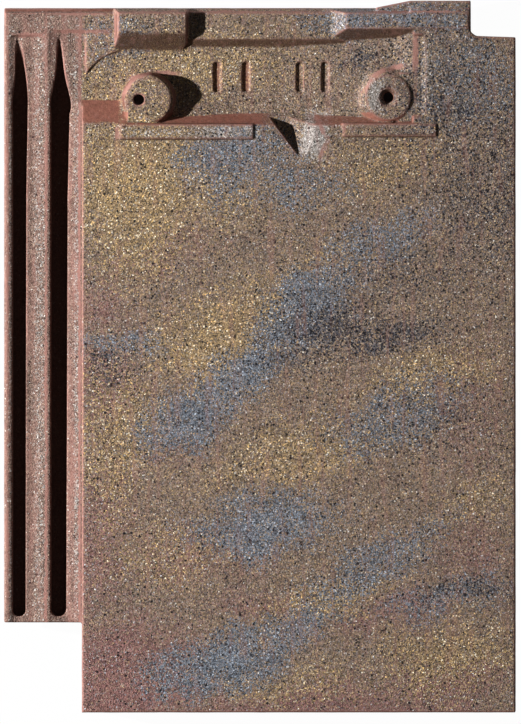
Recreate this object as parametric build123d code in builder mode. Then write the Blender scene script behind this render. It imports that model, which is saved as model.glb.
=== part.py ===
from build123d import *
from math import cos, radians, sin
import os

# A flat interlocking clay roof tile, pressed and fired in one piece, with its head towards +Y.
# The left side is the lock, with two water channels. The right side is the cover, whose two ribs hang
# into the channels of the next tile. The tile lies level on its two nibs and on the nose at its tail.
# Lengths are millimetres.

# Format
face_width = 256.0
lock_width = 46.0
overall_length = 420.0
face_height = 32.0

# Levels of the lower surfaces, each measured down from the face
cover_thickness = 7.5
slab_thickness = 12.0
pan_underside_depth = 17.3
bearing_depth = 21.5
shoulder_depth = 2.2
strip_depth = 1.5
mid_rim_depth = 4.7
basin_end_depth = 5.0
basin_depth = 9.3
pad_depth = 7.9
lock_shelf_depth = 9.3
channel_depth = 15.5

# Outline: the tongue at the right end of the head, the step down to the right strip, the lock's tail
tongue_reach = 4.0
tongue_width = 36.0
tongue_ramp = 20.0
strip_width = 26.5
strip_setback = 21.5
notch_chamfer = 3.0
lock_tail_setback = 53.0
edge_radius = 1.2
corner_radius = 1.5

# Lock section, from the left edge. Each rib's profile has offsets across it and depths under the face.
channel_1_start = 5.0
channel_1_width = 9.2
channel_1_tail_width = 7.8
channel_2_start = 27.6
channel_2_width = 11.4
channel_2_tail_width = 9.2
channel_wall_run = 0.3
channel_head_setback = 58.0
channel_waist_setback = 115.0
channel_end_wall = 3.5
rib_1_profile = ((0.0, 8.5), (1.8, 7.9), (4.5, 8.5), (5.6, 9.0))
rib_2_profile = ((13.5, 9.1), (17.8, 9.0), (21.3, 8.4), (24.3, 7.9), (25.6, 7.8), (27.4, 8.1), (28.2, 8.4))
rib_3_profile = ((36.5, 9.4), (40.0, 8.9), (44.4, 7.9))
shelf_start = 33.0
body_wall = 8.0

# Necks at the channels' heads. Each row has a place along the tile, the two sides and the floor's depth.
neck_1_rows = (
    (66.0, 5.2, 14.0, 15.5), (54.0, 5.5, 13.8, 14.9), (45.0, 6.5, 12.9, 13.6),
    (36.0, 6.8, 11.6, 11.9), (27.0, 6.9, 10.2, 10.4), (20.5, 7.4, 8.8, 9.0),
)
neck_2_rows = (
    (66.0, 27.8, 38.8, 15.5), (54.0, 28.4, 38.2, 14.9), (46.0, 30.0, 36.2, 13.6),
    (36.0, 31.2, 34.8, 11.9), (27.0, 31.6, 33.8, 10.8), (19.5, 32.0, 32.8, 9.0),
)

# Pads, blocks and rim along the head, with setbacks from the tongue's end
head_run = 3.0
head_skirt_depth = 14.0
rim_setback = 7.1
pad_edge_run = 0.6
pad_tail_setback = 17.1
pad_tail_run = 3.0
pad_corner_width = 25.0
pad_corner_setback = 20.3
step_start = 48.4
step_tail_setback = 43.0
step_head_setback = 29.5
step_rise = 1.0
step_bulge = 3.2
left_block_start = 67.3
left_block_width = 40.4
left_block_setback = 16.4
left_block_roll = 7.1
left_block_foot_roll = 5.5
left_block_angle = 48.0
left_block_corner = 13.0
block_end_run = 2.6
block_rise = 0.8
mid_rim_setback = 21.4
mid_rim_roll = 3.0
mid_rim_foot_roll = 4.0
mid_rim_angle = 50.0
mid_rim_end = 198.0
mid_rim_end_run = 16.0
right_block_start = 201.9
right_block_setback = 16.5
right_block_left_run = 15.5
right_block_tail_run = 9.5
tongue_block_tail_run = 1.6

# Basin, open to the lock at its left
basin_ramp_right = 72.0
basin_ramp_setback = 58.4
basin_ramp_top_setback = 72.6
basin_tail_setback = 66.7
basin_top_setback = 73.4
basin_hollow_setback = 55.0
basin_hollow_rise = 3.4
basin_hollow_end = 98.0
basin_hollow_end_run = 52.0
basin_rise_start = 166.0
basin_rise_end = 230.7
basin_wall_top = 241.3
landing_start = 233.0
landing_setback = 42.5
landing_run = 2.5
strip_cut_end = 249.0
strip_cut_run = 2.6
strip_cut_setback = 20.0

# Drain spout through the basin's tail wall
spout_left = 155.8
spout_right = 190.6
spout_tip = 175.8
spout_tip_setback = 92.5
spout_wall_run = 1.2
spout_floor_width = 8.0

# Bars that the nose of the next course bears on
bar_rise = 0.9
bar_draft_run = 0.8
left_bar_start = 68.5
left_bar_length = 78.5
left_bar_width = 8.3
left_bar_setback = 81.5
right_bar_start = 200.0
right_bar_length = 55.0
right_bar_width = 7.2
right_bar_setback = 79.9

# Nail bosses and nail holes
nail_hole_radius = 3.1
left_boss_x = 85.5
left_boss_setback = 58.4
left_boss_radius = 14.2
left_boss_run = 2.4
left_boss_depth = 0.3
left_boss_round = 3.0
left_boss_side = 12.5
left_boss_side_run = 6.0
left_hole_offset = 5.8
dimple_radius = 7.0
dimple_depth = 0.7
right_boss_x = 226.8
right_boss_setback = 57.0
right_boss_radius = 13.3
right_boss_run = 8.0
right_boss_depth = 0.4
right_boss_round = 1.0
crater_radius = 5.2
crater_angle = 80.0

# Plain marks pressed into the basin's floor, two and two
mark_length = 18.0
mark_width = 4.2
mark_depth = 1.3
mark_setback = 45.0
mark_places = (125.7, 142.8, 174.6, 189.4)

# Cover side, from the right edge
joint_clearance = 0.6
side_gap = 2.0
cover_rib_depth = 13.2
cover_rib_run = 1.2
cover_rib_clearance = 1.2
cover_rib_head_setback = 62.0
cover_rib_tail_setback = 66.0

# Underside
nib_width = 42.0
nib_length = 18.0
nib_face_setback = 34.0
nib_run = 3.0
nib_places = (58.0, 196.0)
nose_thickness = 12.0
nose_run = 1.5
weather_rib_setback = 30.0
weather_rib_width = 7.0
weather_rib_run = 1.5
weather_rib_gap = 5.0
stiffener_width = 7.0
stiffener_run = 1.2
stiffener_count = 3
pan_tail_setback = 82.0

# Cutters start this far outside the clay, and pieces that join sink this far into each other
overcut = 5.0
embed = 1.0

# Places worked out from the format
overall_width = lock_width + face_width
left = -overall_width / 2
right = overall_width / 2
head = overall_length / 2
tail = -overall_length / 2
face_left = left + lock_width
head_edge = head - tongue_reach
rim_head = head - rim_setback
lock_tail = tail + lock_tail_setback
tongue_end = right - strip_width
tongue_start = tongue_end - tongue_width
next_left = right - lock_width + joint_clearance
slab_right = next_left - side_gap

# Levels above the ground
cover_underside = face_height - cover_thickness
slab_underside = face_height - slab_thickness
pan_underside = face_height - pan_underside_depth
bearing_level = face_height - bearing_depth
shoulder_level = face_height - shoulder_depth
strip_level = face_height - strip_depth
mid_rim_level = face_height - mid_rim_depth
basin_end_level = face_height - basin_end_depth
basin_floor = face_height - basin_depth
pad_level = face_height - pad_depth
lock_shelf_level = face_height - lock_shelf_depth
head_skirt_level = face_height - head_skirt_depth
channel_floor = face_height - channel_depth
block_top = face_height + block_rise
bar_top = face_height + bar_rise
block_foot = basin_floor - embed


# A block with a level crest from x0 to x1 and y0 to y1, whose left, right, tail and head sides each run
# out by their own distance on the way to its foot. A hanging block has its crest below its foot.
def drafted_block(x_range, y_range, foot, crest, runs, radius=0.0):
    x0, x1 = x_range
    y0, y1 = y_range
    left_run, right_run, tail_run, head_side_run = runs
    standing = crest > foot
    near_run = head_side_run if standing else tail_run
    near_y = y1 + head_side_run if standing else y0 - tail_run
    with BuildPart() as block:
        with Locations((x0 - left_run, near_y, foot)):
            Wedge(
                left_run + x1 - x0 + right_run, abs(crest - foot), tail_run + y1 - y0 + head_side_run,
                left_run, near_run, left_run + x1 - x0, near_run + y1 - y0,
                rotation=(90 if standing else -90, 0, 0), align=None,
            )
        if radius > 0:
            level_faces = block.faces().filter_by(Axis.Z).sort_by(Axis.Z)
            crest_face = level_faces[-1] if standing else level_faces[0]
            fillet(crest_face.edges(), radius)
    return block.part


# A block along the head whose tail side rolls over from its crest and runs out softly into the floor.
# Its ends are drafted, and its right tail corner is rounded in plan.
def rolled_block(x_range, crest_tail, crest, angle, rolls, end_runs, corner=0.0):
    crest_roll, foot_roll = rolls
    rolled_height = (crest_roll + foot_roll) * (1 - cos(radians(angle)))
    slope_length = (crest - basin_floor - rolled_height) / sin(radians(angle))
    with BuildPart() as block:
        with BuildSketch(Plane.YZ.offset(x_range[0] - end_runs[0] - overcut)):
            with BuildLine():
                over = JernArc((crest_tail, crest), (-1, 0), crest_roll, angle)
                slope = PolarLine(over @ 1, slope_length, direction=over % 1)
                out = JernArc(slope @ 1, slope % 1, foot_roll, -angle)
                Polyline(
                    out @ 1, ((out @ 1).X, block_foot), (rim_head + head_run, block_foot),
                    (rim_head, crest), (crest_tail, crest),
                )
            make_face()
        extrude(amount=end_runs[0] + x_range[1] - x_range[0] + end_runs[1] + 2 * overcut)
    with BuildPart() as envelope:
        for level in (block_foot - embed, crest + embed):
            share = (crest - level) / (crest - block_foot)
            x0 = x_range[0] - share * end_runs[0]
            x1 = x_range[1] + share * end_runs[1]
            y0 = (out @ 1).X - embed
            y1 = rim_head + head_run + embed
            with BuildSketch(Plane.XY.offset(level)) as plan:
                with BuildLine():
                    Polyline((x1, y0), (x1, y1), (x0, y1), (x0, y0), close=True)
                make_face()
                if corner > 0:
                    fillet(plan.vertices().sort_by_distance((x1, y0))[0], corner)
        loft(ruled=True)
    return block.part & envelope.part


# A water channel with rounded ends and steep walls. Its right wall comes in quickly below the head and
# then slowly towards the tail.
def channel_cutter(start, width, tail_width):
    end_radius = tail_width / 2 - channel_wall_run - embed / 4
    waist_width = (width + tail_width) / 2 - embed / 4
    with BuildPart() as cutter:
        for level, run in ((channel_floor, channel_wall_run), (pad_level + embed, 0.0)):
            x0 = left + start + run
            x1 = left + start - run
            y0 = lock_tail + channel_end_wall + run
            y1 = head - channel_head_setback
            with BuildSketch(Plane.XY.offset(level)) as plan:
                with BuildLine():
                    Polyline(
                        (x0, y0), (x1 + tail_width, y0), (x1 + waist_width, head - channel_waist_setback),
                        (x1 + width, y1), (x0, y1), close=True,
                    )
                make_face()
                fillet(plan.vertices().sort_by(Axis.Y)[:2], end_radius + channel_wall_run - run)
        loft(ruled=True)
    return cutter.part


# The neck that leads into a channel from its head, narrowing and coming up to the lock's top
def neck_cutter(rows):
    with BuildPart() as cutter:
        for setback, side_a, side_b, depth in rows:
            section_height = pad_level + embed - face_height + depth
            with BuildSketch(Plane.XZ.offset(setback - head)):
                with Locations((left + (side_a + side_b) / 2, pad_level + embed - section_height / 2)):
                    Rectangle(side_b - side_a, section_height)
        loft()
    return cutter.part


# The basin between the rims and the face. Its tail wall is a short steep slope, with a longer ramp
# beside the lock, so its floor and its opening are two outlines of the same six corners.
def basin_cutter():
    levels = (
        (basin_floor, basin_ramp_setback, basin_tail_setback),
        (face_height, basin_ramp_top_setback, basin_top_setback),
    )
    with BuildPart() as cutter:
        for level, ramp_setback, wall_setback in levels:
            with BuildSketch(Plane.XY.offset(level)):
                with BuildLine():
                    Polyline(
                        (left + shelf_start, head + overcut),
                        (left + shelf_start, head - ramp_setback),
                        (left + basin_ramp_right, head - ramp_setback),
                        (left + basin_ramp_right, head - wall_setback),
                        (left + basin_wall_top, head - wall_setback),
                        (left + basin_wall_top, head + overcut),
                        close=True,
                    )
                make_face()
        loft(ruled=True)
        extrude(cutter.faces().sort_by(Axis.Z)[-1], amount=overcut)
    return cutter.part


# The height of the basin's floor, which rises towards its right end
def floor_level(x):
    share = max(0.0, (x - basin_rise_start) / (basin_rise_end - basin_rise_start))
    return basin_floor + share * (basin_end_level - basin_floor)


# The basin's right end, where the floor rises and then turns up into the end wall
def basin_rise():
    with BuildPart() as rise:
        with BuildSketch(Plane.XZ.offset(basin_top_setback + embed - head)):
            with BuildLine():
                Polyline(
                    (left + basin_rise_start, block_foot),
                    (left + basin_wall_top + embed, block_foot),
                    (left + basin_wall_top + embed, strip_level),
                    (left + basin_wall_top, strip_level),
                    (left + basin_rise_end, basin_end_level),
                    (left + basin_rise_start, basin_floor),
                    close=True,
                )
            make_face()
        extrude(amount=rim_setback - basin_top_setback)
    return rise.part


# The hollow that brings the basin's floor up to its tail wall
def basin_hollow():
    foot = head - basin_hollow_setback
    wall = head - basin_top_setback - embed
    with BuildPart() as hollow:
        with BuildSketch(Plane.YZ.offset(left + basin_ramp_right)):
            with BuildLine():
                curve = Spline(
                    (foot, basin_floor), (head - basin_tail_setback, basin_floor + basin_hollow_rise),
                    tangents=((-1, 0), (-1, 0)),
                )
                Polyline(
                    curve @ 1, (wall, basin_floor + basin_hollow_rise), (wall, block_foot),
                    (foot, block_foot), curve @ 0,
                )
            make_face()
        extrude(amount=basin_hollow_end + basin_hollow_end_run - basin_ramp_right)
        add(drafted_block(
            (left + basin_ramp_right, left + basin_hollow_end), (wall, foot),
            block_foot, basin_floor + basin_hollow_rise, (0, basin_hollow_end_run, 0, 0),
        ), mode=Mode.INTERSECT)
    return hollow.part


# The drain spout: a steep left wall and a wide right slope, which leave the basin and come up to the
# face at the tip.
def spout_cutter():
    mouth = (
        (spout_left - overcut, face_height + overcut),
        (spout_left - overcut + spout_wall_run, basin_floor),
        (spout_left + spout_floor_width, basin_floor),
        (spout_right + overcut, face_height + overcut),
    )
    tip = (
        (spout_tip - embed, face_height + overcut),
        (spout_tip - embed, face_height - embed / 10),
        (spout_tip, face_height - embed / 10),
        (spout_right + 2 * overcut, face_height + overcut),
    )
    with BuildPart() as cutter:
        for setback, section in ((basin_tail_setback - overcut, mouth), (spout_tip_setback, tip)):
            with BuildSketch(Plane.XZ.offset(setback - head)):
                with BuildLine():
                    Polyline(*[(left + x, z) for x, z in section], close=True)
                make_face()
        loft(ruled=True)
    return cutter.part


# A nail boss: a cone with a rounded crest, standing on the basin's floor
def nail_boss(x, setback, radius, run, crest, crest_round):
    with BuildPart() as boss:
        for level, level_radius in ((block_foot, radius + run), (crest, radius)):
            with BuildSketch(Plane.XY.offset(level)):
                with Locations((left + x, head - setback)):
                    Circle(level_radius)
        loft()
        fillet(boss.edges().sort_by(Axis.Z)[-1], crest_round)
    return boss.part


# The low step between the lock's shelf and the basin, with its curved tail side
def curved_step():
    low = Vector(left + step_start, head - step_tail_setback)
    high = Vector(left + left_block_start, head - step_head_setback)
    middle = (low + high) / 2 + Vector(-step_bulge, step_bulge) / 2
    with BuildPart() as step:
        with BuildSketch(Plane.XY.offset(block_foot)):
            with BuildLine():
                ThreePointArc(low, middle, high)
                Polyline(high, (high.X, rim_head - embed), (low.X, rim_head - embed), low)
            make_face()
        extrude(amount=embed + step_rise)
    return step.part


with BuildPart() as roof_tile:
    # Face plate, as thick as the cover side is
    with BuildSketch(Plane.XY.offset(cover_underside)):
        with BuildLine():
            Polyline(
                (face_left, tail),
                (right, tail),
                (right, head - strip_setback),
                (tongue_end + notch_chamfer, head - strip_setback + notch_chamfer / 4),
                (tongue_end, head - strip_setback + notch_chamfer),
                (tongue_end, head_edge),
                (face_left, head_edge),
                close=True,
            )
        make_face()
    extrude(amount=cover_thickness)
    fillet(roof_tile.faces().sort_by(Axis.Z)[-1].edges(), edge_radius)

    # Slab under the face, as far as the cover zone
    with BuildSketch(Plane.XY.offset(slab_underside)):
        with Locations(((face_left + slab_right) / 2, (tail + rim_head) / 2)):
            Rectangle(slab_right - face_left, rim_head - tail)
    extrude(amount=cover_underside + embed - slab_underside)

    # Lock plate, with the section of its ribs
    with BuildSketch(Plane.XZ.offset(-lock_tail)):
        with BuildLine():
            ribs = [
                Spline(*[(left + x, face_height - depth) for x, depth in profile])
                for profile in (rib_1_profile, rib_2_profile, rib_3_profile)
            ]
            Line(ribs[0] @ 1, ribs[1] @ 0)
            Line(ribs[1] @ 1, ribs[2] @ 0)
            Polyline(
                ribs[2] @ 1,
                (face_left + body_wall, face_height - rib_3_profile[-1][1]),
                (face_left + body_wall, bearing_level),
                (left, bearing_level),
                ribs[0] @ 0,
            )
        make_face()
    extrude(amount=lock_tail + pad_tail_setback - head)

    # Bands under the head, with an upright skirt and a drafted edge above it
    for x_range, underside, top in (
        ((left, face_left + body_wall), bearing_level, lock_shelf_level),
        ((face_left, slab_right), pan_underside, basin_floor),
    ):
        band_tail = head - pan_tail_setback
        with Locations((x_range[0], band_tail, underside)):
            Box(
                x_range[1] - x_range[0], rim_head + head_run - band_tail, head_skirt_level - underside,
                align=Align.MIN,
            )
        add(drafted_block(x_range, (band_tail, rim_head), head_skirt_level, top, (0, 0, 0, head_run)))

    # Basin, with its rising right end, the low strip beside it and the drain spout
    add(basin_cutter(), mode=Mode.SUBTRACT)
    add(basin_rise())
    add(basin_hollow())
    add(drafted_block(
        (left + landing_start, left + basin_wall_top + embed),
        (head - basin_top_setback - embed, head - landing_setback),
        block_foot, strip_level, (landing_run, 0, 0, landing_run),
    ))
    add(drafted_block(
        (left + basin_wall_top - embed, left + strip_cut_end - strip_cut_run),
        (head - basin_tail_setback, head - strip_cut_setback),
        face_height + strip_depth, strip_level, (0, 2 * strip_cut_run, 2 * strip_cut_run, 0),
    ), mode=Mode.SUBTRACT)
    add(spout_cutter(), mode=Mode.SUBTRACT)

    # Pads at the lock's head, and the curved step into the basin
    for width, setback, tail_run in (
        (left_block_start - 3 * pad_edge_run, pad_tail_setback, pad_tail_run),
        (pad_corner_width, pad_corner_setback, pad_edge_run),
    ):
        add(drafted_block(
            (left + pad_edge_run, left + width), (head - setback, rim_head),
            lock_shelf_level - embed, pad_level, (pad_edge_run, pad_edge_run, tail_run, pad_edge_run),
        ))
    add(curved_step())

    # Blocks and rim along the head
    add(rolled_block(
        (left + left_block_start, left + left_block_start + left_block_width), head - left_block_setback,
        block_top, left_block_angle, (left_block_roll, left_block_foot_roll),
        (head_run, block_end_run), left_block_corner,
    ))
    add(rolled_block(
        (left + left_block_start + left_block_width / 2, left + mid_rim_end),
        head - mid_rim_setback, mid_rim_level, mid_rim_angle,
        (mid_rim_roll, mid_rim_foot_roll), (0, mid_rim_end_run),
    ))
    add(drafted_block(
        (left + right_block_start, left + basin_wall_top),
        (head - right_block_setback, rim_head), block_foot, block_top,
        (right_block_left_run, 0, right_block_tail_run, head_run), corner_radius / 2,
    ))

    # Tongue at the right end of the head, with the ramp that leads out to it
    with BuildSketch(Plane.XY.offset(cover_underside)):
        with BuildLine():
            Polyline(
                (tongue_end, head - right_block_setback),
                (tongue_end, head),
                (tongue_start, head),
                (tongue_start - tongue_ramp, head_edge),
                (tongue_start - tongue_ramp, head - right_block_setback),
                close=True,
            )
        make_face()
    extrude(amount=shoulder_level - cover_underside)
    add(drafted_block(
        (tongue_start, tongue_end - embed), (head - right_block_setback, rim_head),
        shoulder_level - embed, block_top,
        (0, embed, tongue_block_tail_run, rim_setback - embed), corner_radius / 2,
    ))

    # Bearing bars
    for start, length, width, setback in (
        (left_bar_start, left_bar_length, left_bar_width, left_bar_setback),
        (right_bar_start, right_bar_length, right_bar_width, right_bar_setback),
    ):
        add(drafted_block(
            (left + start, left + start + length), (head - setback, head - setback + width),
            face_height - embed, bar_top, (bar_draft_run,) * 4, bar_draft_run / 2,
        ))

    # Nail bosses
    left_crest = face_height - left_boss_depth
    right_crest = face_height - right_boss_depth
    add(nail_boss(
        left_boss_x, left_boss_setback, left_boss_radius, left_boss_run, left_crest, left_boss_round
    ))
    add(nail_boss(
        right_boss_x, right_boss_setback, right_boss_radius, right_boss_run, right_crest, right_boss_round
    ))

    # The left boss's tail corner, which runs into the ramp and the wall beside it
    add(drafted_block(
        (left + left_boss_x - left_boss_side, left + left_boss_x),
        (head - basin_top_setback - embed, head - left_boss_setback),
        block_foot, left_crest - embed / 2, (left_boss_side_run, left_boss_run, 0, 0),
    ))

    # Water channels and their necks
    channels = (
        (channel_1_start, channel_1_width, channel_1_tail_width),
        (channel_2_start, channel_2_width, channel_2_tail_width),
    )
    for (start, width, tail_width), rows in zip(channels, (neck_1_rows, neck_2_rows)):
        add(channel_cutter(start, width, tail_width), mode=Mode.SUBTRACT)
        add(neck_cutter(rows), mode=Mode.SUBTRACT)

    # Cover ribs, over the middle of the next tile's channels
    for start, width, tail_width in channels:
        centre = next_left + start + tail_width / 2
        half = tail_width / 2 - channel_wall_run - cover_rib_clearance
        add(drafted_block(
            (centre - half, centre + half),
            (tail + cover_rib_tail_setback, head - cover_rib_head_setback),
            cover_underside + embed, face_height - cover_rib_depth, (cover_rib_run,) * 4, cover_rib_run / 2,
        ))

    # Nose along the tail, and the weather rib behind it
    add(drafted_block(
        (face_left + nose_run, right - nose_run), (tail + nose_run, tail + nose_thickness),
        cover_underside + embed, 0, (nose_run, nose_run, nose_run, 2 * nose_run), nose_run / 2,
    ))
    weather_rib_tail = tail + weather_rib_setback
    add(drafted_block(
        (face_left + body_wall, right - body_wall), (weather_rib_tail, weather_rib_tail + weather_rib_width),
        cover_underside + embed, weather_rib_gap, (weather_rib_run,) * 4, weather_rib_run / 2,
    ))

    # Stiffening ribs down to the bearing plane, the last along the slab's edge
    inner_left = face_left + body_wall
    bay = (slab_right - stiffener_width / 2 - inner_left) / stiffener_count
    half = stiffener_width / 2 - stiffener_run
    for index in range(stiffener_count):
        centre = inner_left + bay * (index + 1)
        add(drafted_block(
            (centre - half, centre + half), (weather_rib_tail, head - nib_face_setback),
            slab_underside + embed, bearing_level, (stiffener_run,) * 4, stiffener_run / 2,
        ))

    # Hanging nibs
    for start in nib_places:
        nib_tail = head - nib_face_setback
        add(drafted_block(
            (left + start, left + start + nib_width), (nib_tail, nib_tail + nib_length),
            pan_underside + embed, 0, (nib_run, nib_run, 0, nib_run), nib_run / 2,
        ))

    # Nail holes, the right one with its crater, and the dimple in the left boss's crest
    with Locations((left + left_boss_x - left_hole_offset, head - left_boss_setback, left_crest)):
        Hole(nail_hole_radius, depth=2 * pan_underside_depth)
    with Locations((left + left_boss_x, head - left_boss_setback, left_crest + dimple_radius - dimple_depth)):
        Sphere(dimple_radius, mode=Mode.SUBTRACT)
    with Locations((left + right_boss_x, head - right_boss_setback, right_crest)):
        CounterSinkHole(
            nail_hole_radius, crater_radius, depth=2 * pan_underside_depth, counter_sink_angle=crater_angle
        )

    # Plain marks
    for place in mark_places:
        with BuildSketch(Plane.XY.offset(floor_level(place) - mark_depth)):
            with Locations((left + place, head - mark_setback)):
                SlotOverall(mark_length, mark_width, rotation=90)
        extrude(amount=overcut, mode=Mode.SUBTRACT)

roof_tile.part.label = "roof_tile"
os.makedirs("parts", exist_ok=True)
export_step(roof_tile.part, "parts/roof_tile.step")
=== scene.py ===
import math

import bmesh
import bpy
import numpy as np
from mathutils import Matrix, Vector, noise


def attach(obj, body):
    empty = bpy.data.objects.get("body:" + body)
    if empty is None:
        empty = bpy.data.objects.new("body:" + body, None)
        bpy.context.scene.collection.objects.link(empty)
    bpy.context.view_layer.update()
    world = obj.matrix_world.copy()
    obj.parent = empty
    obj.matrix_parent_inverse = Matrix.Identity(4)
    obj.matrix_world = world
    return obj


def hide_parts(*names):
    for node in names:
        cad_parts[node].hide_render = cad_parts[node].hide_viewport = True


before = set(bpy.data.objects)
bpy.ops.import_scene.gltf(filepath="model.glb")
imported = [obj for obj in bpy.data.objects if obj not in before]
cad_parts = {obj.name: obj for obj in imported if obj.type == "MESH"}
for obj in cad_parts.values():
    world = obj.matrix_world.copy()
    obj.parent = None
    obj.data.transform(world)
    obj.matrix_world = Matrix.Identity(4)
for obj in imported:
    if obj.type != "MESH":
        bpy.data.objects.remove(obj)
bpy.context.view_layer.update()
scene = bpy.context.scene
scene.view_settings.view_transform = "Standard"
print("frame loaded")


def newObject(name, data):
    made = bpy.data.objects.new(name, data)
    scene.collection.objects.link(made)
    return made


# adds one shader node. An input may be a value or another node's output
def addNode(tree, kind, inputs=None, **settings):
    made = tree.nodes.new("ShaderNode" + kind)
    for key, value in settings.items():
        setattr(made, key, value)
    for key, value in (inputs or {}).items():
        if isinstance(value, bpy.types.NodeSocket):
            tree.links.new(value, made.inputs[key])
        else:
            made.inputs[key].default_value = value
    return made


def mathOf(tree, operation, a, b):
    return addNode(tree, "Math", {0: a, 1: b}, operation=operation).outputs[0]


def rangeOf(tree, value, low, high, toLow=0.0, toHigh=1.0):
    return addNode(tree, "MapRange", {
        "Value": value, "From Min": low, "From Max": high, "To Min": toLow, "To Max": toHigh,
    }).outputs[0]


# 1 for the rays that find the background white: the camera's, and those off gloss or through glass
def seenRays(tree):
    rays = addNode(tree, "LightPath").outputs
    seen = mathOf(tree, "MAXIMUM", rays["Is Camera Ray"], rays["Is Glossy Ray"])
    return mathOf(tree, "MAXIMUM", seen, rays["Is Transmission Ray"])


# camera, straight above the tile

framing = {
    "across": 0.3074,  # m across the picture at the face
    "tallness": 724 / 521,  # picture height over its width
    "centre": (0.0004, -0.0032),
    "faceHeight": 0.032,
    "lens": 800.0,
    "sensor": 36.0,
}


def placeCamera(s):
    data = bpy.data.cameras.new("camera")
    data.lens = s["lens"]
    data.sensor_width = s["sensor"]
    distance = s["across"] * s["tallness"] * s["lens"] / s["sensor"]
    data.clip_start = 0.1
    data.clip_end = 2.0 * distance
    camera = newObject("camera", data)
    camera.location = (*s["centre"], s["faceHeight"] + distance)
    scene.camera = camera


placeCamera(framing)

# lamp low on the left and a little to the head side, and a weak even fill

lighting = {
    "turn": 175.0,  # degrees round from +X
    "height": 24.5,  # degrees above the ground
    "away": 2.4,  # m
    "size": 0.06,  # m across the lamp
    "watts": 134.0,
    "fill": 0.03,  # strength of the even light all round
}


def placeLamps(s):
    turn, height = math.radians(s["turn"]), math.radians(s["height"])
    across, along = math.cos(turn) * math.cos(height), math.sin(turn) * math.cos(height)
    toLamp = Vector((across, along, math.sin(height)))
    data = bpy.data.lights.new("keyLamp", "AREA")
    data.shape = "DISK"
    data.size = s["size"]
    data.energy = s["watts"]
    lamp = newObject("keyLamp", data)
    lamp.location = toLamp * s["away"]
    lamp.rotation_euler = toLamp.to_track_quat("Z", "Y").to_euler()

    world = bpy.data.worlds.new("studio")
    world.use_nodes = True
    scene.world = world
    tree = world.node_tree
    tree.nodes.clear()
    fill = addNode(tree, "Background", {"Color": (1, 1, 1, 1), "Strength": s["fill"]})
    white = addNode(tree, "Background", {"Color": (1, 1, 1, 1), "Strength": 1.0})
    either = addNode(tree, "MixShader", {0: seenRays(tree), 1: fill.outputs[0], 2: white.outputs[0]})
    addNode(tree, "OutputWorld", {"Surface": either.outputs[0]})


placeLamps(lighting)
print("camera and lamps placed")

# the tile itself: the pressed shape with its edges softened and its faces slightly uneven

body = {
    "voxel": 0.0006,  # m, as are all lengths here
    "softening": 2,  # smoothing passes over all of it
    "wearReach": 16,  # smoothing passes that find the raised edges
    "faces": 188000,
    "swell": 0.00022,  # long low waves of the faces
    "swellSize": 0.02,
    "dents": 0.00010,
    "dentSize": 0.004,
    # where the pressed relief is rounder: low and high corner, and the distance over which that fades
    "softLow": (-0.086, 0.1385, 0.0195),
    "softHigh": (0.122, 0.2015, 0.060),
    "softFade": 0.004,
    "softness": 0.85,
    "crispHoles": ((-0.0713, 0.1516, 0.006), (0.0758, 0.153, 0.006)),  # x, y and radius
    "crispMarks": (-0.030, 0.154, 0.045, 0.178),  # left, down, right and up
}


def evaluated(piece):
    graph = bpy.context.evaluated_depsgraph_get()
    return bpy.data.meshes.new_from_object(piece.evaluated_get(graph))


def applyAll(piece):
    made = evaluated(piece)
    piece.modifiers.clear()
    piece.data = made


def addUnevenness(piece, name, size, strength):
    cloud = bpy.data.textures.new(name, "CLOUDS")
    cloud.noise_scale = size
    cloud.noise_depth = 2
    push = piece.modifiers.new(name, "DISPLACE")
    push.texture = cloud
    push.texture_coords = "LOCAL"
    push.mid_level = 0.5
    push.strength = strength


def positions(mesh):
    flat = np.empty(len(mesh.vertices) * 3, dtype=np.float32)
    mesh.vertices.foreach_get("co", flat)
    return flat.reshape(-1, 3)


def keepAttribute(mesh, name, values):
    kept = mesh.attributes.new(name, "FLOAT", "POINT")
    kept.data.foreach_set("value", values.astype(np.float32))


def roundOff(piece, passes):
    smooth = piece.modifiers.new("round", "SMOOTH")
    smooth.factor = 0.5
    smooth.iterations = passes
    made = evaluated(piece)
    piece.modifiers.clear()
    return positions(made)


# keeps how far each point stands proud of its surroundings, in millimetres, as an attribute. Then the
# relief at the head is made rounder, but not around the nail holes and the pressed marks
def markAndSoften(piece, s):
    mesh = piece.data
    sharp, soft = positions(mesh), roundOff(piece, s["wearReach"])
    normals = np.empty(len(mesh.vertices) * 3, dtype=np.float32)
    mesh.vertex_normals.foreach_get("vector", normals)
    keepAttribute(mesh, "raised", ((sharp - soft) * normals.reshape(-1, 3)).sum(axis=1) * 1000.0)

    inside = np.minimum(sharp - np.array(s["softLow"]), np.array(s["softHigh"]) - sharp).min(axis=1)
    share = np.clip(inside / s["softFade"], 0.0, 1.0)
    for x, y, radius in s["crispHoles"]:
        away = np.hypot(sharp[:, 0] - x, sharp[:, 1] - y) - radius
        share = np.minimum(share, np.clip(away / s["softFade"], 0.0, 1.0))
    left, down, right, up = s["crispMarks"]
    outside = np.maximum.reduce([
        left - sharp[:, 0], sharp[:, 0] - right, down - sharp[:, 1], sharp[:, 1] - up,
    ])
    share = s["softness"] * np.minimum(share, np.clip(outside / s["softFade"], 0.0, 1.0))
    moved = sharp + (soft - sharp) * share[:, None]
    mesh.vertices.foreach_set("co", moved.astype(np.float32).ravel())
    mesh.update()


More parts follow.
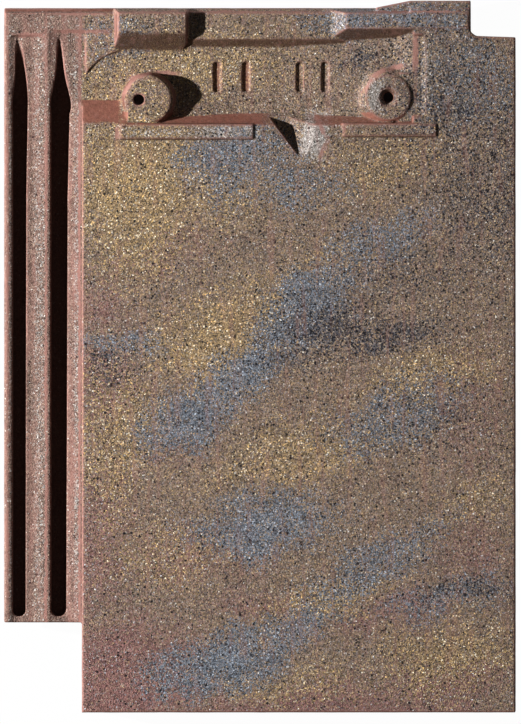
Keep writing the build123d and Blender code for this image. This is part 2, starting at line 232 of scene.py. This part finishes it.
def makeBody(s):
    bm = bmesh.new()
    bm.from_mesh(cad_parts["roof_tile"].data)
    bmesh.ops.remove_doubles(bm, verts=bm.verts, dist=1e-6)
    mesh = bpy.data.meshes.new("clay_body")
    bm.to_mesh(mesh)
    bm.free()
    piece = newObject("clay_body", mesh)

    remesh = piece.modifiers.new("even", "REMESH")
    remesh.mode = "VOXEL"
    remesh.voxel_size = s["voxel"]
    soften = piece.modifiers.new("soften", "SMOOTH")
    soften.factor = 0.5
    soften.iterations = s["softening"]
    applyAll(piece)
    markAndSoften(piece, s)

    addUnevenness(piece, "swell", s["swellSize"], s["swell"])
    addUnevenness(piece, "dents", s["dentSize"], s["dents"])
    piece.modifiers.new("triangles", "TRIANGULATE")
    thin = piece.modifiers.new("thin", "DECIMATE")
    thin.ratio = s["faces"] / (2.0 * len(piece.data.polygons))
    applyAll(piece)
    piece.data.shade_smooth()
    print("clay body has", len(piece.data.polygons), "faces")

    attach(piece, "root")
    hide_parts("roof_tile")
    return piece


clayBody = makeBody(body)

# fired red clay under a sprayed, speckled engobe. Places and sizes are millimetres on the face

glaze = {
    "grain": 0.67,  # mm across one grain
    "clot": 1.25,  # a spray falls in clots this many grains across
    "shades": (0.42, 1.62),  # darkest and lightest grain
    "clumping": (0.84, 1.12),  # a spray's thinnest and thickest places
    "mottling": (0.91, 1.10),  # slow changes of tone
    "sprays": ("plum", "ochre", "blue", "dark"),
    "melting": {"plum": 0.5, "ochre": 0.15, "blue": 0.15, "dark": 0.1},  # how softly a spray ends
    "mistPower": 0.75,  # the blue spray lies wider
    "mistShare": 0.86,  # and thinner
    "seed": 130,
    "drifts": ((0.028, 11.0), (0.06, 7.0), (0.16, 5.0), (0.35, 2.5)),  # waves per mm, and mm moved
    "spotEdge": 1.15,  # how far out a sprayed place ends, in its half lengths
    "spotCore": 0.10,  # and how far out it is full
    # black specks: cells per mm, chance, chance added by the dark spray, least and most radius in cells
    "specks": ((0.50, 0.09, 0.90, 0.25, 0.41), (0.25, 0.32, 0.60, 0.15, 0.23)),
    "speckStrength": 0.95,
    "specksInLock": 0.25,
    "lockSide": (-104.6, -105.6),  # x where the lock's own colour starts
    "lockStrength": 0.8,
    "underFace": (22.2, 21.0),  # z below which the clay is bare
    "headSlope": (201.5, 203.5),  # y where the coat runs on over the slope
    "headSlopeBare": 0.15,
    "bareStrength": 0.94,
    # the channels' painted shade ends at the lock's outer walls and before the head
    "channelShadeBounds": (("X", -149.5, -148.5), ("Y", -156.0, -155.0), ("Y", 201.0, 200.0)),
    "tailShadeNormal": (-0.20, -0.52),  # the normal's y where the painted shade starts, and where it is darkest
    "tailShadeStrength": 0.88,
    "edgeWear": ((0.03, 0.14), (0.14, 0.26)),  # mm proud, from and to, for each of two steps
    "edgeStrength": 0.45,
    "lockEdges": (162.0, 158.0),  # y below which the lock's edges are rubbed less
    "lockEdgeWear": 0.3,
    "hollow": (-0.06, -0.22),  # mm below the surroundings, where painted shade darkens the corners
    "hollowTone": 0.62,
    "dullness": (0.72, 0.92),  # roughness
    "gloss": 0.15,  # specular level
    "sand": 1.25,  # waves per mm of the sandy relief
    "sandHeight": 0.0008,  # m
    "sandOnCoat": 0.9,
    "sandOnClay": 0.3,
    # what the grains of each spray are: from this chance on, that colour
    "baseGrains": (
        (0.0, (0.050, 0.042, 0.040)), (0.06, (0.152, 0.116, 0.090)), (0.22, (0.230, 0.160, 0.112)),
        (0.60, (0.240, 0.188, 0.150)), (0.82, (0.330, 0.225, 0.122)), (0.93, (0.420, 0.315, 0.200)),
        (0.985, (0.640, 0.590, 0.520)),
    ),
    "plumGrains": (
        (0.0, (0.120, 0.062, 0.058)), (0.06, (0.215, 0.108, 0.100)), (0.45, (0.262, 0.132, 0.118)),
        (0.90, (0.270, 0.190, 0.155)), (0.985, (0.52, 0.54, 0.60)),
    ),
    "ochreGrains": (
        (0.0, (0.055, 0.040, 0.030)), (0.07, (0.190, 0.130, 0.075)), (0.28, (0.330, 0.225, 0.120)),
        (0.68, (0.430, 0.300, 0.158)), (0.88, (0.740, 0.490, 0.205)), (0.955, (0.950, 0.840, 0.640)),
    ),
    "blueGrains": (
        (0.0, (0.035, 0.036, 0.042)), (0.12, (0.110, 0.122, 0.142)), (0.35, (0.160, 0.182, 0.220)),
        (0.68, (0.225, 0.252, 0.296)), (0.88, (0.280, 0.210, 0.145)), (0.96, (0.440, 0.480, 0.560)),
    ),
    "darkGrains": (
        (0.0, (0.012, 0.011, 0.016)), (0.26, (0.064, 0.064, 0.080)), (0.54, (0.125, 0.116, 0.122)),
        (0.80, (0.210, 0.155, 0.112)), (0.94, (0.390, 0.315, 0.235)),
    ),
    "lockGrains": (
        (0.0, (0.140, 0.080, 0.064)), (0.12, (0.218, 0.134, 0.111)), (0.50, (0.265, 0.172, 0.142)),
        (0.88, (0.345, 0.250, 0.198)), (0.975, (0.580, 0.540, 0.500)),
    ),
    # whitish grains for the painted highlights
    "highlightGrains": (
        (0.0, (0.200, 0.168, 0.150)), (0.15, (0.330, 0.288, 0.260)), (0.55, (0.410, 0.370, 0.345)),
        (0.96, (0.620, 0.590, 0.560)),
    ),
    "black": (0.008, 0.007, 0.010, 1),
    "bareRed": (0.270, 0.102, 0.072, 1),
    "bareWall": (0.100, 0.042, 0.031, 1),
    # painted shade for the channels' floors and walls: clay darkened almost to black
    "channelShade": (0.050, 0.019, 0.013, 1),
    # dark brown: a thin coat, and painted shade on tail-facing slopes and under the bars
    "thinCoatAndShade": (0.074, 0.036, 0.021, 1),
    "rubbed": (0.370, 0.180, 0.148),
    # sprayed places and boxes: x, y, half length, half width, turn in degrees, strength
    "ochrePlaces": (
        (-22, 14, 62, 36, 30, 1.0), (-74, 96, 48, 66, 0, 1.15), (24, -61, 80, 22, 15, 0.75),
        (77, 116, 50, 20, 5, 0.6), (100, -14, 56, 20, 15, 0.75), (41, -143, 50, 20, 15, 0.75),
        (124, -85, 42, 20, 20, 0.5), (112, -176, 60, 26, 6, 0.8), (-35, 172, 76, 30, 0, 0.75),
        (-90, 162, 26, 28, 0, 0.6), (-88, -50, 30, 66, 0, 0.7), (-30, 96, 50, 24, 0, 0.5),
        (20, -196, 60, 14, 0, 0.5), (-50, -120, 50, 24, 10, 0.5), (40, 60, 30, 16, 20, 0.4),
    ),
    "bluePlaces": (
        (-15, 116, 46, 20, 12, 0.85), (-44, -36, 42, 22, 28, 1.1), (-8, -12, 38, 20, 38, 1.2),
        (26, 26, 46, 22, 42, 1.2), (68, 70, 44, 18, 25, 0.55), (2, -100, 56, 20, 10, 1.1),
        (-22, -178, 50, 20, 18, 1.3), (24, -160, 40, 16, 26, 0.85), (68, -120, 58, 20, 30, 0.7),
        (83, -37, 52, 20, 20, 0.6), (112, -141, 42, 14, 16, 0.6), (78, 201, 66, 14, 0, 1.0),
        (124, 160, 34, 40, 0, 0.45), (-86, 8, 34, 12, 4, 0.6), (52, 196, 24, 12, 0, 0.9),
        (20, 104, 40, 14, 10, 0.5), (-86, 186, 30, 12, 0, 0.4),
    ),
    "plumPlaces": (
        (-84, -192, 72, 46, 12, 1.3), (-94, -14, 28, 36, 10, 0.8), (34, -206, 130, 16, 2, 1.0),
        (-98, -110, 34, 80, 0, 0.8), (80, -150, 64, 16, 12, 0.7), (104, -192, 60, 22, 4, 0.8),
        (-62, 60, 56, 18, 20, 0.5), (126, -30, 30, 60, 0, 0.4), (-96, 34, 26, 20, 0, 0.7),
        (-40, -120, 64, 26, 10, 0.6), (124, -120, 30, 40, 0, 0.5), (-60, -60, 40, 16, 10, 0.4),
        (4, -146, 46, 14, 6, 0.6),
    ),
    # the places at the right by the head, beyond x 100 and y 90, are partly dark engobe and partly
    # painted shade for the lamp's falloff
    "darkPlaces": (
        (47, 19, 54, 18, 4, 0.85), (77, 10, 44, 15, 4, 0.85), (110, 150, 54, 60, 0, 0.5),
        (124, 140, 30, 12, 0, 0.8), (124, 96, 40, 60, 0, 0.5), (118, -138, 42, 10, 8, 0.65),
        (83, 50, 66, 26, 18, 0.35), (57, 174, 20, 12, 0, 0.7), (20, -2, 38, 14, 20, 0.5),
        (100, -40, 50, 26, 10, 0.25), (-92, -6, 20, 16, 0, 0.5), (-60, 190, 30, 10, 0, 0.2),
        (142, 110, 14, 90, 0, 0.5),
    ),
    # smooth bare clay: the ramp beside the lock, and the basin's tail wall
    "bareBoxes": (
        (-94.0, 145.0, 11.6, 7.2, 0, 1.0), (-40.0, 140.6, 46.0, 4.0, 0, 0.9),
        (62.0, 140.4, 33.0, 3.9, 0, 0.75),
    ),
    # a thin coat on the second rib and on the left boss, and painted shade along the tail edges under the
    # bars
    "thinCoatAndShadeBoxes": (
        (-44.4, 128.6, 38.6, 0.7, 0, 0.7), (74.2, 130.3, 23.3, 0.7, 1, 0.7),
        (-136.2, -8.0, 190.0, 1.9, 90, 0.25), (-79.8, 152.0, 9.0, 2.4, 90, 0.3),
    ),
    # painted highlights, in whitish grains: the spout's lit slope, and parts of the ribs, rims and bosses
    "highlightBoxes": (
        (32.5, 131.0, 6.5, 12.0, -10, 1.3), (-20.0, 132.0, 16.0, 4.0, 0, 0.5),
        (-108.4, -8.0, 190.0, 1.3, 90, 0.45), (-130.3, -8.0, 190.0, 2.8, 90, 0.26),
        (46.7, 197.0, 5.0, 6.0, 0, 0.3), (68.0, 153.5, 8.5, 4.4, 88, 0.9),
        (99.0, 168.0, 14.0, 1.6, 90, 0.4), (-147.0, 0.0, 210.0, 1.2, 90, 0.2),
        (-60.0, 132.0, 24.0, 3.0, 0, 0.25),
    ),
    # rubbed to the clay: the lock's ribs, and rims and edges of the head
    "rubbedBoxes": (
        (-149.4, 0.0, 215.0, 1.3, 90, 0.65), (-136.2, 0.0, 215.0, 5.2, 90, 0.35),
        (-126.2, -8.0, 190.0, 0.8, 90, 1.1), (-111.8, -8.0, 190.0, 3.4, 90, 0.40),
        (-106.4, -8.0, 196.0, 0.8, 90, 1.1), (-130.0, 178.0, 26.0, 28.0, 0, 0.22),
        (-135.0, 190.0, 8.6, 1.2, 0, 1.1), (-105.2, 192.0, 14.5, 1.2, 0, 1.1),
        (-103.1, 178.5, 10.6, 0.9, 90, 1.1), (-84.5, 193.8, 9.4, 1.5, 92, 0.5),
        (-103.7, 202.4, 17.0, 0.8, 0, 0.9), (-78.0, 158.7, 5.8, 1.2, 62, 1.0),
        (-69.5, 165.8, 6.4, 1.2, 19, 1.1), (-55.3, 167.4, 8.3, 1.2, -3, 1.1),
        (63.9, 160.5, 5.2, 1.4, 62, 1.0), (70.4, 167.3, 5.0, 1.4, 30, 1.1),
        (80.4, 170.8, 6.0, 1.4, 11, 1.1), (91.9, 180.2, 8.9, 1.3, 90, 1.0),
        (-84.2, 131.9, 3.2, 1.0, 90, 1.0), (49.7, 133.0, 3.4, 1.0, 90, 1.0),
        (36.1, 135.4, 8.0, 1.2, -64, 0.9), (37.6, 122.4, 5.8, 1.2, 69, 0.8),
        (91.9, 203.5, 30.0, 0.6, 0, 1.0), (-17.6, 203.5, 65.0, 0.6, 0, 0.9),
        (-128.0, 205.6, 24.0, 0.9, 0, 1.0),
    ),
}


def mixColour(tree, share, a, b):
    return addNode(tree, "MixRGB", {"Fac": share, "Color1": a, "Color2": b}).outputs[0]


def scaledBy(tree, colour, factor):
    return addNode(tree, "VectorMath", {0: colour, "Scale": factor}, operation="SCALE").outputs[0]


# a place moved about by a noise's colour
def pushedBy(tree, where, drift, push):
    middle = (0.5, 0.5, 0.5)
    centred = addNode(tree, "VectorMath", {0: drift.outputs["Color"], 1: middle}, operation="SUBTRACT")
    moved = scaledBy(tree, centred.outputs[0], push)
    return addNode(tree, "VectorMath", {0: where, 1: moved}, operation="ADD").outputs[0]


# points moved about by a smooth noise
def drifted(points, scale, push):
    moves = np.array([noise.noise_vector(Vector(point) * scale) for point in points], dtype=np.float32)
    return points + moves * push


# keeps how thick each spray fell on each point as an attribute: full inside its places, fading out around
def markSprays(piece, s):
    noise.seed_set(s["seed"])
    points = positions(piece.data) * 1000.0
    for scale, push in s["drifts"]:
        points = drifted(points, scale, push)
    for kind in s["sprays"]:
        total = np.zeros(len(points), dtype=np.float32)
        for x, y, length, width, turn, strength in s[kind + "Places"]:
            cos, sin = math.cos(math.radians(turn)), math.sin(math.radians(turn))
            right, up = points[:, 0] - x, points[:, 1] - y
            reach = np.hypot((right * cos + up * sin) / length, (up * cos - right * sin) / width)
            share = np.clip((s["spotEdge"] - reach) / (s["spotEdge"] - s["spotCore"]), 0.0, 1.0)
            total = np.maximum(total, strength * share * share * (3.0 - 2.0 * share))
        keepAttribute(piece.data, kind, total)


# each box's strength inside it and 0 away from them all, the edge fading over a share of the box
def boxField(tree, where, places, fade):
    total = None
    for x, y, length, width, turn, strength in places:
        local = addNode(tree, "Mapping", {
            "Vector": where, "Location": (x, y, 0), "Rotation": (0, 0, math.radians(turn)),
            "Scale": (length, width, 1e4),
        }, vector_type="TEXTURE").outputs[0]
        sides = addNode(tree, "VectorMath", {0: local}, operation="ABSOLUTE").outputs[0]
        apart = addNode(tree, "SeparateXYZ", {0: sides})
        reach = mathOf(tree, "MAXIMUM", apart.outputs["X"], apart.outputs["Y"])
        spot = rangeOf(tree, reach, 1.0 + fade, 1.0 - fade, 0.0, strength)
        total = spot if total is None else mathOf(tree, "MAXIMUM", total, spot)
    return total


# the colour that each grain of a spray has, by its chance
def grainsOf(tree, roll, grains):
    ramp = addNode(tree, "ValToRGB", {"Fac": roll})
    steps = ramp.color_ramp
    steps.interpolation = "CONSTANT"
    for index, (start, tone) in enumerate(grains):
        step = steps.elements[index] if index < 2 else steps.elements.new(start)
        step.position = start
        step.color = (*tone, 1)
    return ramp.outputs["Color"]


def makeGlaze(s):
    material = bpy.data.materials.new("speckled_engobe")
    material.use_nodes = True
    tree = material.node_tree
    shader = tree.nodes["Principled BSDF"]

    coords = addNode(tree, "TexCoord")
    mm = scaledBy(tree, coords.outputs["Object"], 1000.0)
    place = addNode(tree, "SeparateXYZ", {0: mm}).outputs
    normal = addNode(tree, "SeparateXYZ", {0: coords.outputs["Normal"]}).outputs

    def cloud(scale, detail, rough=0.5, where=mm):
        return addNode(tree, "TexNoise", {
            "Vector": where, "Scale": scale, "Detail": detail, "Roughness": rough,
        })

    def times(a, b):
        return mathOf(tree, "MULTIPLY", a, b)

    def plus(a, b):
        return mathOf(tree, "ADD", a, b)

    def larger(a, b):
        return mathOf(tree, "MAXIMUM", a, b)

    # every grain and every clot gets its own chances
    def chances(size):
        cells = addNode(tree, "TexVoronoi", {"Vector": mm, "Scale": 1.0 / size})
        return addNode(tree, "SeparateColor", {"Color": cells.outputs["Color"]}).outputs

    grain = chances(s["grain"])
    clot = chances(s["clot"] * s["grain"])
    ragged = pushedBy(tree, mm, cloud(0.35, 3.0), 3.0)
    patchy = mathOf(tree, "SUBTRACT", cloud(0.35, 3.0, 0.6).outputs["Fac"], 0.5)

    # a grain belongs to a spray when its chance is under the spray's share there
    fields = {
        kind: addNode(tree, "Attribute", attribute_name=kind).outputs["Fac"] for kind in s["sprays"]
    }
    fields["blue"] = times(mathOf(tree, "POWER", fields["blue"], s["mistPower"]), s["mistShare"])
    rolls = {"plum": clot[0], "ochre": clot[1], "blue": clot[2], "dark": grain[2]}
    clumps = rangeOf(tree, cloud(0.14, 4.0, 0.65).outputs["Fac"], 0.30, 0.70, *s["clumping"])
    colour = grainsOf(tree, grain[0], s["baseGrains"])
    for kind in s["sprays"]:
        share = mathOf(tree, "SUBTRACT", times(fields[kind], clumps), rolls[kind])
        inside = rangeOf(tree, share, -s["melting"][kind], s["melting"][kind])
        colour = mixColour(tree, inside, colour, grainsOf(tree, grain[0], s[kind + "Grains"]))

    # the lock has grains of its own, and some places get whitish grains as painted highlights
    inLock = rangeOf(tree, place["X"], *s["lockSide"])
    lockGrains = grainsOf(tree, grain[0], s["lockGrains"])
    colour = mixColour(tree, times(inLock, s["lockStrength"]), colour, lockGrains)
    pale = mathOf(tree, "SUBTRACT", boxField(tree, ragged, s["highlightBoxes"], 0.4), clot[0])
    highlightGrains = grainsOf(tree, grain[0], s["highlightGrains"])
    colour = mixColour(tree, rangeOf(tree, pale, -0.1, 0.1), colour, highlightGrains)

    # black specks of two sizes, thicker where the dark spray fell
    fewer = rangeOf(tree, inLock, 0.0, 1.0, 1.0, s["specksInLock"])
    for scale, few, many, small, large in s["specks"]:
        specks = addNode(tree, "TexVoronoi", {"Vector": mm, "Scale": scale})
        roll = addNode(tree, "SeparateColor", {"Color": specks.outputs["Color"]}).outputs
        chance = times(plus(times(fields["dark"], many), few), fewer)
        here = mathOf(tree, "LESS_THAN", roll[0], chance)
        size = rangeOf(tree, roll[1], 0.0, 1.0, small, large)
        near = rangeOf(tree, mathOf(tree, "SUBTRACT", size, specks.outputs["Distance"]), 0.0, 0.04)
        colour = mixColour(tree, times(times(here, near), s["speckStrength"]), colour, s["black"])

    # slow changes of tone, and every grain a little lighter or darker
    mottle = rangeOf(tree, cloud(0.10, 3.0).outputs["Fac"], 0.28, 0.72, *s["mottling"])
    shade = rangeOf(tree, grain[1], 0.0, 1.0, *s["shades"])
    colour = scaledBy(tree, colour, times(mottle, shade))

    # bare clay on steep walls, in the channels and underneath, but not on the slope along the head
    steep = plus(normal["Z"], times(patchy, 0.4))
    coated = rangeOf(tree, place["Y"], *s["headSlope"], 1.0, s["headSlopeBare"])
    sides = times(rangeOf(tree, steep, 0.60, 0.35), coated)
    boxes = plus(boxField(tree, ragged, s["bareBoxes"], 0.15), times(patchy, 0.7))
    boxes = times(rangeOf(tree, boxes, 0.2, 0.9), rangeOf(tree, normal["Z"], 0.96, 0.90))
    low = rangeOf(tree, place["Z"], *s["underFace"])
    bareShare = larger(larger(sides, boxes), low)
    bare = mixColour(tree, rangeOf(tree, steep, 0.55, 0.25), s["bareRed"], s["bareWall"])
    # painted shade: the floors and walls of the lock's channels are darkened almost to black
    channelShadeShare = times(times(low, inLock), rangeOf(tree, normal["Z"], -0.4, -0.2))
    for axis, outer, inner in s["channelShadeBounds"]:
        channelShadeShare = times(channelShadeShare, rangeOf(tree, place[axis], outer, inner))
    bare = mixColour(tree, channelShadeShare, bare, s["channelShade"])
    clayTone = cloud(0.5, 4.0, 0.65).outputs["Fac"]
    bare = scaledBy(tree, bare, rangeOf(tree, clayTone, 0.3, 0.7, 0.68, 1.22))

    # painted shade: slopes that face the tail, away from the lamp, are darkened
    tailShade = plus(normal["Y"], times(patchy, 0.3))
    tailShade = rangeOf(tree, tailShade, *s["tailShadeNormal"], 0.0, s["tailShadeStrength"])
    # the boxes add a thin coat, and painted shade under the bars
    thin = larger(tailShade, boxField(tree, ragged, s["thinCoatAndShadeBoxes"], 0.5))
    colour = mixColour(tree, thin, colour, s["thinCoatAndShade"])
    colour = mixColour(tree, times(bareShare, s["bareStrength"]), colour, bare)

    # raised edges are rubbed to the clay, less so along the lock
    raised = addNode(tree, "Attribute", attribute_name="raised").outputs["Fac"]
    worn = plus(raised, times(patchy, 0.16))
    first, second = (rangeOf(tree, worn, *reach, 0.0, s["edgeStrength"]) for reach in s["edgeWear"])
    alongLock = times(inLock, rangeOf(tree, place["Y"], *s["lockEdges"]))
    edges = times(plus(first, second), rangeOf(tree, alongLock, 0.0, 1.0, 1.0, s["lockEdgeWear"]))

    # so are the marked strips, in streaks along the tile
    stretched = addNode(tree, "VectorMath", {0: mm, 1: (1.0, 0.10, 1.0)}, operation="MULTIPLY").outputs[0]
    streaks = rangeOf(tree, cloud(0.22, 4.0, 0.6, stretched).outputs["Fac"], 0.35, 0.65, -0.45, 0.25)
    strips = plus(boxField(tree, ragged, s["rubbedBoxes"], 0.5), streaks)
    rubbed = larger(edges, rangeOf(tree, strips, 0.0, 0.9, 0.0, 0.85))
    rubbed = times(rubbed, rangeOf(tree, channelShadeShare, 0.0, 1.0, 1.0, 0.0))
    rubbed = times(rubbed, rangeOf(tree, normal["Z"], -0.3, 0.0))
    clay = scaledBy(tree, s["rubbed"], rangeOf(tree, clayTone, 0.3, 0.7, 0.85, 1.15))
    colour = mixColour(tree, rubbed, colour, clay)

    # painted shade in the sharp concave corners
    cornerShade = plus(raised, times(patchy, 0.1))
    colour = scaledBy(tree, colour, rangeOf(tree, cornerShade, *s["hollow"], 1.0, s["hollowTone"]))
    tree.links.new(colour, shader.inputs["Base Color"])

    # matt, with a little life in it
    dull = rangeOf(tree, cloud(0.8, 3.0).outputs["Fac"], 0.3, 0.7, *s["dullness"])
    tree.links.new(dull, shader.inputs["Roughness"])
    shader.inputs["Specular IOR Level"].default_value = s["gloss"]

    # sandy relief, weaker on bare clay
    sand = cloud(s["sand"], 2.0, 0.7).outputs["Fac"]
    smooth = larger(bareShare, times(rubbed, 0.8))
    strength = rangeOf(tree, smooth, 0.0, 1.0, s["sandOnCoat"], s["sandOnClay"])
    rough = addNode(tree, "Bump", {"Strength": strength, "Distance": s["sandHeight"], "Height": sand})
    tree.links.new(rough.outputs["Normal"], shader.inputs["Normal"])
    return material


markSprays(clayBody, glaze)
clayBody.data.materials.clear()
clayBody.data.materials.append(makeGlaze(glaze))
print("engobe mixed")

# pale floor, white to the camera, with the tile's shadow kept faint around it and full under it

ground = {
    "reach": 4.0,  # m
    "paint": (0.8, 0.8, 0.8, 1),
    "glow": 0.98,  # how far the camera sees white instead of the paint
    "underCentre": (0.020, -0.005),  # no glow under the tile
    "underHalf": (0.100, 0.170),
    "underEdge": 0.020,
}


def makeFloor(s):
    bm = bmesh.new()
    bmesh.ops.create_grid(bm, x_segments=1, y_segments=1, size=s["reach"])
    mesh = bpy.data.meshes.new("floor")
    bm.to_mesh(mesh)
    bm.free()
    floor = newObject("floor", mesh)
    paint = bpy.data.materials.new("floorPaint")
    paint.use_nodes = True
    tree = paint.node_tree
    tree.nodes.clear()
    where = addNode(tree, "TexCoord").outputs["Object"]
    centre, half = (*s["underCentre"], 0), (*s["underHalf"], 0)
    away = addNode(tree, "VectorMath", {0: where, 1: centre}, operation="SUBTRACT")
    flat = addNode(tree, "VectorMath", {0: away.outputs[0]}, operation="ABSOLUTE")
    past = addNode(tree, "VectorMath", {0: flat.outputs[0], 1: half}, operation="SUBTRACT")
    sides = addNode(tree, "SeparateXYZ", {0: past.outputs[0]}).outputs
    outside = mathOf(tree, "MAXIMUM", sides["X"], sides["Y"])
    glowing = rangeOf(tree, outside, 0.0, s["underEdge"], 0.0, s["glow"])
    share = mathOf(tree, "MULTIPLY", seenRays(tree), glowing)
    diffuse = addNode(tree, "BsdfDiffuse", {"Color": s["paint"]})
    glow = addNode(tree, "Emission", {"Color": (1, 1, 1, 1), "Strength": 1.0})
    blend = addNode(tree, "MixShader", {0: share, 1: diffuse.outputs[0], 2: glow.outputs[0]})
    addNode(tree, "OutputMaterial", {"Surface": blend.outputs[0]})
    mesh.materials.append(paint)


makeFloor(ground)
print("floor laid")
